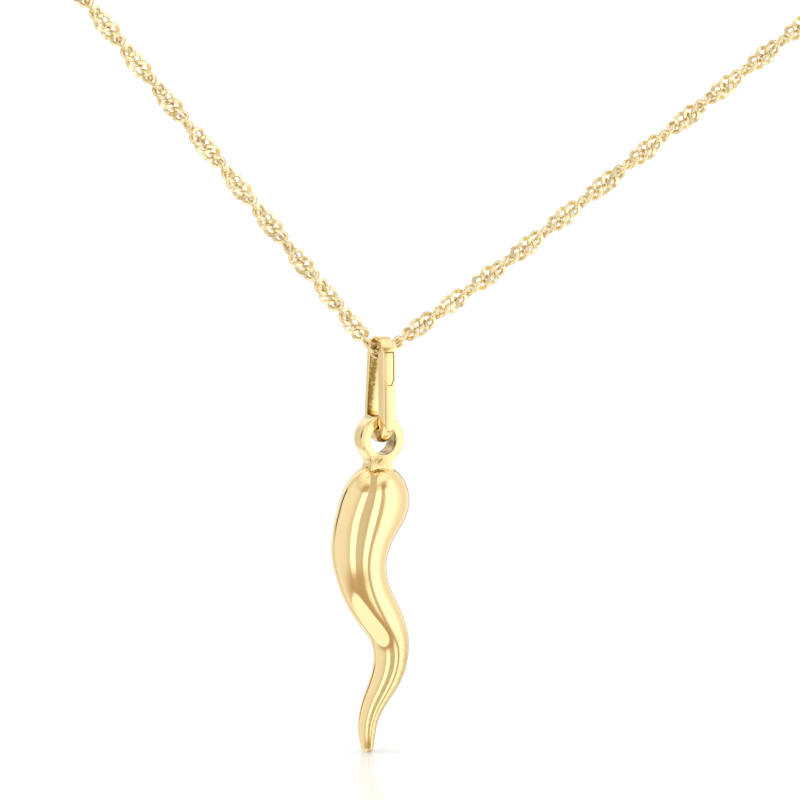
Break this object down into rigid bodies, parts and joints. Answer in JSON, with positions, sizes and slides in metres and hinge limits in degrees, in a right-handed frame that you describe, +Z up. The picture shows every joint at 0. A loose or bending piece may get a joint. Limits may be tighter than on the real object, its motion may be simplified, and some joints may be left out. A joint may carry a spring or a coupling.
{
  "type": "horn pendant necklace",
  "caption": "Curved gold horn charm with a cast loop, hung on an oval bail that slides on a fine twisted curb chain closed by a ring clasp.",
  "frame": {"origin": "the nape of the neck, on the neck's side of the clasp, where the necklace rests on the wearer", "axes": "+Z is up, the wearer faces -Y, and the bail's hole and its first hinge run along X"},
  "size_m": [0.1252, 0.1262, 0.1044],
  "materials": {
    "polished_gold": "mirror-polished warm yellow gold",
    "chain_gold": "bright yellow gold with flat cut facets"
  },
  "bodies": {
    "necklace": {"chain": "chain_gold", "clasp": "polished_gold"},
    "bail": {"bail": "polished_gold"},
    "horn": {"horn": "polished_gold"}
  },
  "joints": [
    {"name": "bail_swing", "type": "hinge", "parent": "necklace", "child": "bail", "pos_m": [-0.00996, -0.123, -0.07788], "axis": [1, 0, 0], "range_deg": [-75, 75]},
    {"name": "horn_swing", "type": "hinge", "parent": "bail", "child": "horn", "pos_m": [-0.00996, -0.1229, -0.08278], "axis": [0, 1, 0], "range_deg": [-70, 70]}
  ]
}
